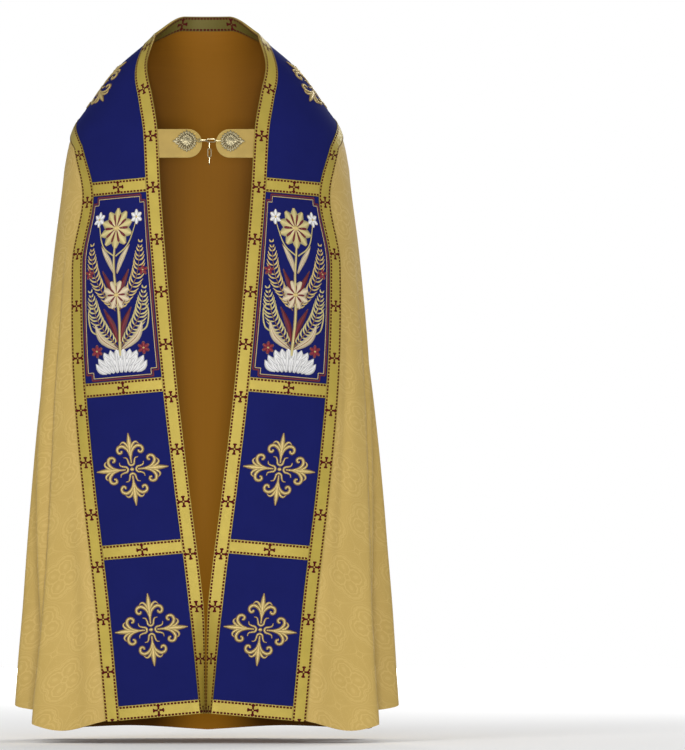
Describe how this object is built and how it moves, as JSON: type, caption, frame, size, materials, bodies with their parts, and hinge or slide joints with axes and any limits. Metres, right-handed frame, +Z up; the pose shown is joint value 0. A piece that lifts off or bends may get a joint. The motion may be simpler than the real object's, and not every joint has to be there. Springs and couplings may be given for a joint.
{
  "type": "cope vestment",
  "caption": "Lined cope shaped as worn, with velvet bands edged in braid, a fringed hood at the back and a hooked chain clasp.",
  "frame": {"origin": "middle of the neck, level with the root of the collar, where the wearer's neck and shoulders carry the cope", "axes": "+X to the right of someone facing the front, +Y from the front towards the back, +Z up"},
  "size_m": [0.788, 0.4853, 1.4667],
  "materials": {
    "lining": "satin",
    "damask": "satin figured weave",
    "velvet": "matt pile",
    "braid": "metallic thread",
    "fringe": "twisted metallic thread",
    "metal": "pale gilt, polished"
  },
  "bodies": {
    "garment": {"body_back": "damask", "body_front_left": "damask", "body_front_right": "damask", "body_side_left": "damask", "body_side_right": "damask", "braid_bar_hem_left": "braid", "braid_bar_hem_right": "braid", "braid_bar_lower_left": "braid", "braid_bar_lower_right": "braid", "braid_bar_middle_left": "braid", "braid_bar_middle_right": "braid", "braid_bar_upper_left": "braid", "braid_bar_upper_right": "braid", "braid_centre": "braid", "braid_collar": "braid", "braid_collar_inside": "braid", "braid_hood": "braid", "braid_inner_left": "braid", "braid_inner_right": "braid", "braid_outer_left": "braid", "braid_outer_right": "braid", "braid_yoke": "braid", "chain_link_1": "metal", "chain_link_2": "metal", "clasp_eye": "metal", "clasp_hook": "metal", "clasp_rosette_left": "metal", "clasp_rosette_right": "metal", "clasp_tab_left": "damask", "clasp_tab_right": "damask", "hood": "velvet", "hood_fringe": "fringe", "lining": "lining", "velvet_hem_left": "velvet", "velvet_hem_right": "velvet", "velvet_lower_left": "velvet", "velvet_lower_right": "velvet", "velvet_middle_left": "velvet", "velvet_middle_right": "velvet", "velvet_upper_left": "velvet", "velvet_upper_right": "velvet"},
    "drop_1": {"drop_link_1": "metal"},
    "drop_2": {"drop_link_2": "metal"},
    "drop_3": {"drop_link_3": "metal"}
  },
  "joints": [
    {"name": "drop_1_swing", "type": "hinge", "parent": "garment", "child": "drop_1", "pos_m": [0.007, -0.15743, -0.22206], "axis": [1, 0, 0], "range_deg": [-75, 8]},
    {"name": "drop_2_swing", "type": "hinge", "parent": "drop_1", "child": "drop_2", "pos_m": [0.007, -0.15743, -0.23746], "axis": [0, 1, 0], "range_deg": [-25, 25]},
    {"name": "drop_3_swing", "type": "hinge", "parent": "drop_2", "child": "drop_3", "pos_m": [0.007, -0.15743, -0.25286], "axis": [1, 0, 0], "range_deg": [-40, 40]}
  ]
}
